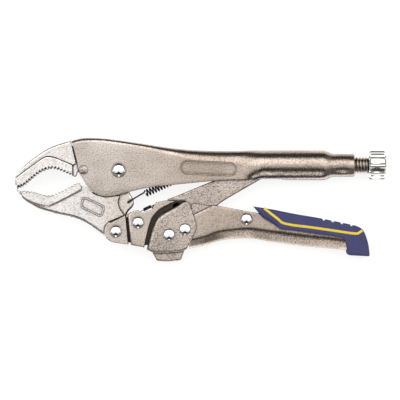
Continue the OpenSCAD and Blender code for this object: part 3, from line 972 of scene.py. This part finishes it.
def rivet_tree():
    """A shaft with a domed head at each end."""
    tree, given = new_tree("domed_rivet", [("Head radius", "NodeSocketFloat"), ("Seat", "NodeSocketFloat"),
        ("Rise", "NodeSocketFloat"), ("Shaft radius", "NodeSocketFloat"), ("Centre", "NodeSocketVector"),
        ("Finish", "NodeSocketMaterial")])
    radius = given["Head radius"]
    disc = add(tree, "GeometryNodeMeshCylinder", {"fill_type": "TRIANGLE_FAN"}, Vertices=56, Side_Segments=1,
        Fill_Segments=10, Radius=radius, Depth=RIM).outputs[0]
    at = add(tree, "ShaderNodeSeparateXYZ", Vector=add(tree, "GeometryNodeInputPosition").outputs[0]).outputs
    span = calc(tree, "SQRT", calc(tree, "ADD", calc(tree, "MULTIPLY", at[0], at[0]),
        calc(tree, "MULTIPLY", at[1], at[1])))
    share = calc(tree, "MAXIMUM", calc(tree, "DIVIDE", span, radius), 0.001)
    angle = calc(tree, "MULTIPLY", share, math.pi / 2)
    widen = calc(tree, "DIVIDE", calc(tree, "SINE", angle), share)
    lift = calc(tree, "MULTIPLY", calc(tree, "COSINE", angle), given["Rise"])
    domed = vector_of(tree, calc(tree, "MULTIPLY", at[0], widen), calc(tree, "MULTIPLY", at[1], widen),
        calc(tree, "ADD", at[2], lift))
    upper = calc(tree, "GREATER_THAN", at[2], 0.0)
    head = add(tree, "GeometryNodeSetPosition", Geometry=disc, Selection=upper, Position=domed).outputs[0]
    near = add(tree, "GeometryNodeTransform", Geometry=head,
        Translation=vector_of(tree, 0.0, 0.0, given["Seat"])).outputs[0]
    far = add(tree, "GeometryNodeTransform", Geometry=near, Rotation=(math.pi, 0, 0)).outputs[0]
    shaft = add(tree, "GeometryNodeMeshCylinder", Vertices=32, Radius=given["Shaft radius"],
        Depth=calc(tree, "MULTIPLY", given["Seat"], 2.0)).outputs[0]
    parts = add(tree, "GeometryNodeJoinGeometry")
    for part in (near, far, shaft):
        tree.links.new(part, parts.inputs[0])
    placed = add(tree, "GeometryNodeTransform", Geometry=parts.outputs[0],
        Translation=given["Centre"]).outputs[0]
    end_tree(tree, placed, given["Finish"])
    return tree


# Seat of each head and radius of each shaft, in millimetres
RIVETS = {"jaw_pivot_rivet": (6.6, 3), "fixed_jaw_rivet": (6.6, 2.2), "lower_jaw_rivet": (6.95, 2.6),
    "lever_rivet": (7.6, 2.6), "release_pivot_rivet": (8.6, 2.5), "stop_rivet": (8.6, 2.5),
    "liner_rivet": (7.2, 2.5)}


def make_rivets():
    tree = rivet_tree()
    for node, (seat, shaft) in RIVETS.items():
        extent = size(node)
        finish = GRAINY if node == "fixed_jaw_rivet" else BRIGHT
        piece = grown(f"{node}_domed", tree, {"Head radius": extent.x / 2 * MM, "Seat": seat * MM,
            "Rise": (extent.z / 2 - seat) * MM - RIM / 2, "Shaft radius": shaft * MM,
            "Centre": in_frame(middle(node)), "Finish": finish})
        fitted(piece, node, finish)


def coil_tree():
    """Wire wound from its start along a heading in the middle plane."""
    tree, given = new_tree("wound_coil", [("Turns", "NodeSocketFloat"), ("Radius", "NodeSocketFloat"),
        ("Length", "NodeSocketFloat"), ("Wire", "NodeSocketFloat"), ("Start", "NodeSocketVector"),
        ("Heading", "NodeSocketFloat"), ("Finish", "NodeSocketMaterial")])
    spiral = add(tree, "GeometryNodeCurveSpiral", Resolution=20, Rotations=given["Turns"],
        Start_Radius=given["Radius"], End_Radius=given["Radius"], Height=given["Length"]).outputs[0]
    section = add(tree, "GeometryNodeCurvePrimitiveCircle", Resolution=8, Radius=given["Wire"]).outputs[0]
    wire = add(tree, "GeometryNodeCurveToMesh", Curve=spiral, Profile_Curve=section,
        Fill_Caps=True).outputs[0]
    placed = add(tree, "GeometryNodeTransform", Geometry=wire, Translation=given["Start"],
        Rotation=vector_of(tree, 0.0, math.pi / 2, given["Heading"])).outputs[0]
    end_tree(tree, placed, given["Finish"])
    return tree


def leaning(angle):
    """Directions along and across a spring that leans from the X axis."""
    along = Vector((math.cos(angle), math.sin(angle), 0))
    return along, Vector((-along.y, along.x, 0))


def make_main_spring(tree):
    """The long coil, hooked in the lower jaw's lug and fastened in the upper handle."""
    lean, length, radius, wire, pitch = math.radians(24.4), 38.0, 2.2, 0.52, 2.15
    along, side = leaning(lean)
    start = Vector((18.5, -16, 0))
    coil = grown("main_spring_coil", tree, {"Turns": length / pitch, "Radius": radius * MM,
        "Length": length * MM, "Wire": wire * MM, "Start": in_frame(start), "Heading": lean,
        "Finish": WIRE}, 60)
    face = TANG + wire + 0.05
    hook = [(5.9, -22.6, face - 1.6), (6.3, -22.3, face - 0.4), (7.0, -21.7, face), (8.4, -20.9, face),
        (11.5, -18.9, 2.7), (15, -16.8, 1.6), (16.6, -15.9, 0.9), (17.6, -14.9, 0.3)]
    hook += [tuple(start + side * radius + along * 0.3)]
    end = start + along * length
    anchor = end + along * 9
    tail = [tuple(p) for p in (end + side * radius, end + along * 1.2 + side * 1.2, end + along * 3, anchor)]
    merge(coil, mesh_object("hooks", joined(tube(smooth(hook, 4), wire), tube(smooth(tail, 4), wire)), 60))
    fitted(coil, "main_spring", WIRE, body="lower_jaw")
    coil.parent = None
    in_frame((8.4, -20.9, 0))
    in_frame(anchor)
    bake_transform(coil)


def make_release_spring(tree):
    """The small closing spring on the lever."""
    lean, length, radius, wire, pitch = math.atan2(2.5, 5.2), 5.8, 0.95, 0.27, 0.62
    along = leaning(lean)[0]
    start = Vector((17, -27.3, PAD_OUT - 2.2))
    coil = grown("release_spring_coil", tree, {"Turns": length / pitch, "Radius": radius * MM,
        "Length": length * MM, "Wire": wire * MM, "Start": in_frame(start), "Heading": lean,
        "Finish": WIRE}, 60)
    ends = [[start, start - along * 1.0, start - along * 2.1 - Vector((0, 0.3, 0))],
        [start + along * length, start + along * (length + 1.6)]]
    merge(coil, mesh_object("hooks", joined(*(tube(end, wire) for end in ends)), 60))
    fitted(coil, "release_spring", WIRE)


def make_springs():
    tree = coil_tree()
    make_main_spring(tree)
    make_release_spring(tree)


def thread_tree():
    """A rod along X with a spiral groove."""
    tree, given = new_tree("rolled_thread", [("Radius", "NodeSocketFloat"), ("Root", "NodeSocketFloat"),
        ("Pitch", "NodeSocketFloat"), ("Length", "NodeSocketFloat"), ("Rings", "NodeSocketInt"),
        ("Centre", "NodeSocketVector"), ("Finish", "NodeSocketMaterial")])
    rod = add(tree, "GeometryNodeMeshCylinder", Vertices=40, Side_Segments=given["Rings"],
        Radius=given["Radius"], Depth=given["Length"]).outputs[0]
    at = add(tree, "ShaderNodeSeparateXYZ", Vector=add(tree, "GeometryNodeInputPosition").outputs[0]).outputs
    turn = calc(tree, "DIVIDE", calc(tree, "ARCTAN2", at[1], at[0]), 2 * math.pi)
    phase = calc(tree, "FRACT", calc(tree, "SUBTRACT", calc(tree, "DIVIDE", at[2], given["Pitch"]), turn))
    wave = calc(tree, "ABSOLUTE", calc(tree, "MULTIPLY_ADD", phase, 2.0, -1.0))
    crest = ramp(tree, wave, 0.1, 0.86)
    depth = calc(tree, "SUBTRACT", given["Radius"], given["Root"])
    share = calc(tree, "DIVIDE", calc(tree, "MULTIPLY_ADD", crest, depth, given["Root"]), given["Radius"])
    cut = vector_of(tree, calc(tree, "MULTIPLY", at[0], share), calc(tree, "MULTIPLY", at[1], share), at[2])
    shaped = add(tree, "GeometryNodeSetPosition", Geometry=rod, Position=cut).outputs[0]
    placed = add(tree, "GeometryNodeTransform", Geometry=shaped, Translation=given["Centre"],
        Rotation=(0, math.pi / 2, 0)).outputs[0]
    end_tree(tree, placed, given["Finish"])
    return tree


PITCH = 2.1
THREAD_DEPTH = 1.15
RINGS_PER_TURN = 10
INTO_KNOB = 0.6      # how far the rod runs on into the knob


def make_screw():
    extent, centre = size("adjusting_screw"), middle("adjusting_screw")
    length = extent.x + INTO_KNOB
    centre.x += INTO_KNOB / 2
    piece = grown("screw_thread", thread_tree(), {"Radius": (extent.y / 2 - 0.02) * MM,
        "Root": (extent.y / 2 - THREAD_DEPTH) * MM, "Pitch": PITCH * MM, "Length": length * MM,
        "Rings": round(length / PITCH * RINGS_PER_TURN), "Centre": in_frame(centre), "Finish": THREAD}, 50)
    fitted(piece, "adjusting_screw", THREAD)


FLUTES = 10
FLUTE_HALF = 0.2     # half a groove, as a share of the way to the next
FLUTE_DEPTH = 0.85
KNOB_SIDES = 160


def make_knob():
    extent, centre = size("adjusting_knob"), middle("adjusting_knob")
    start, end = centre.x - extent.x / 2, centre.x + extent.x / 2
    rim = extent.z / 2
    chamfer = 1.25

    def fluted(radius, turn):
        """Wide lands with round grooves between them, fading into the bevelled ends."""
        phase = (turn * FLUTES / (2 * math.pi)) % 1
        groove = max(0.0, 1 - (abs(phase - 0.5) / FLUTE_HALF) ** 2)
        return radius - FLUTE_DEPTH * math.sqrt(groove) * min(1.0, radius / rim)

    shoulder = rim - chamfer
    profile = [(start, 5), (start, shoulder - 0.2), (start + 0.15, shoulder), (start + chamfer, rim - 0.12),
        (start + chamfer + 0.35, rim), (centre.x, rim), (end - chamfer - 0.35, rim),
        (end - chamfer, rim - 0.12), (end - 0.15, shoulder), (end, shoulder - 0.25), (end, 6.3),
        (end - 0.25, 6.0), (end - 0.25, 1)]
    knob = turned_x(profile, centre.y, KNOB_SIDES, fluted)
    fitted(mesh_object("fluted_knob", knob, 28), "adjusting_knob", CHROME)


def paint_cad():
    """CAD nodes whose shape is right keep it and get their finish."""
    for node, finish in (("lever_spacer", DARK_STEEL_AND_SHADE), ("toggle_pin", DARK_STEEL_AND_SHADE), ("handle_liner", GRAINY),
            ("release_cam", DARK_STEEL_AND_SHADE), ("thrust_tip", DARK_STEEL_AND_SHADE)):
        materials = frame["nodes"][node].data.materials
        materials.clear()
        materials.append(finish)


# ---- studio ----------------------------------------------------------------------


def window(tree, value, low, high, soft):
    """One between low and high, nothing outside, with soft sides."""
    return calc(tree, "MULTIPLY", ramp(tree, value, low - soft, low + soft),
        ramp(tree, value, high - soft, high + soft, 1.0, 0.0))


def dimmed(tree, strength, amount, level):
    """The strength drawn toward a level by an amount."""
    return calc(tree, "ADD", calc(tree, "MULTIPLY", strength, calc(tree, "SUBTRACT", 1.0, amount)),
        calc(tree, "MULTIPLY", amount, level))


OVERHEAD = 1.0       # strength of the light from the ceiling
BENCH = 1.35         # and of what comes up from the bench


def make_light():
    """A bright ceiling over a white bench, with a dark strip of wall toward +Y and a person's shadow
    toward -Y. Angles are in degrees: the fall from overhead, and the turn either way from -Y."""
    world = bpy.data.worlds.new("studio")
    bpy.context.scene.world = world
    world.use_nodes = True
    tree = world.node_tree
    tree.nodes.clear()
    heading = add(tree, "ShaderNodeTexCoord").outputs["Generated"]
    way = add(tree, "ShaderNodeSeparateXYZ", Vector=heading).outputs
    fall = calc(tree, "MULTIPLY", calc(tree, "ARCCOSINE", way[2]), 180 / math.pi)
    turn = calc(tree, "ARCTAN2", way[0], calc(tree, "MULTIPLY", way[1], -1.0))
    turn = calc(tree, "MULTIPLY", calc(tree, "ABSOLUTE", turn), 180 / math.pi)
    ahead = ramp(tree, turn, 66, 86, 1.0, 0.0)
    behind = ramp(tree, turn, 80, 100)
    aside = ramp(tree, turn, 4, 9)
    wall = ramp(tree, turn, 136, 154)
    person = ramp(tree, calc(tree, "DIVIDE", turn, calc(tree, "MAXIMUM", fall, 1.0)), 0.95, 1.2, 1.0, 0.0)
    flank = calc(tree, "MULTIPLY", ahead, aside)
    strength = ramp(tree, fall, 94, 150, OVERHEAD, BENCH)
    # Where it is around the tool, the fall that it starts and ends at, its softness, and its strength
    strips = (
        (behind, 12, 56, 8, 2.1),       # lit ceiling over the far side
        (behind, 62, 106, 6, 0.28),     # dim wall under it
        (wall, 53, 106, 6, 0.05),       # the dark strip of that wall
        (ahead, 56, 142, 5, 2.0),       # low light in front
        (flank, 50, 112, 5, 0.24),      # and shade to either side of its middle
        (person, 15, 54, 3, 0.02),      # the person leaning over
        (ahead, 150, 190, 5, 0.02))     # dark straight below, in front
    for where, low, high, soft, level in strips:
        amount = calc(tree, "MULTIPLY", where, window(tree, fall, low, high, soft))
        strength = dimmed(tree, strength, amount, level)
    warm = add(tree, "ShaderNodeBackground", Color=(1.0, 0.985, 0.965, 1), Strength=strength).outputs[0]
    plain = add(tree, "ShaderNodeBackground", Color=(1, 1, 1, 1), Strength=1.0).outputs[0]
    seen = add(tree, "ShaderNodeLightPath").outputs["Is Camera Ray"]
    both = add(tree, "ShaderNodeMixShader", i0=seen, i1=warm, i2=plain).outputs[0]
    add(tree, "ShaderNodeOutputWorld", Surface=both)


def make_floor():
    """A white bench that the metal doesn't mirror: the studio's own light stands for it there."""
    reach = 1.6
    mesh = bpy.data.meshes.new("floor")
    mesh.from_pydata([(-reach, -reach, 0), (reach, -reach, 0), (reach, reach, 0), (-reach, reach, 0)], [],
        [(0, 1, 2, 3)])
    floor = bpy.data.objects.new("floor", mesh)
    bpy.context.scene.collection.objects.link(floor)
    finish, _, shader = new_finish("pale_floor")
    shader.inputs["Base Color"].default_value = (0.3, 0.3, 0.3, 1)
    shader.inputs["Roughness"].default_value = 0.95
    shader.inputs["Emission Color"].default_value = (1, 1, 1, 1)
    shader.inputs["Emission Strength"].default_value = 0.80
    mesh.materials.append(finish)
    floor.visible_glossy = False


def make_camera():
    """Straight above the tool as it lies on its side, with its width up the frame."""
    scene = bpy.context.scene
    aim = (55.66, -20.55, 0)
    away, view_width, sensor = 2.2, 274.5, 36.0
    camera = bpy.data.cameras.new("camera")
    camera.sensor_width = sensor
    camera.lens = sensor * away / (view_width * MM)
    camera.clip_end = 20
    viewer = bpy.data.objects.new("camera", camera)
    scene.collection.objects.link(viewer)
    viewer.location = Vector(in_frame(aim)) + Vector((0, 0, away))
    scene.camera = viewer
    scene.view_settings.view_transform = "Standard"


make_upper_handle()
make_fixed_jaw()
make_lower_jaw()
make_lever_plates()
make_link()
make_lower_handle()
make_shell()
make_grip()
make_stripe()
make_rivets()
make_springs()
make_screw()
make_knob()
paint_cad()
make_light()
make_floor()
make_camera()
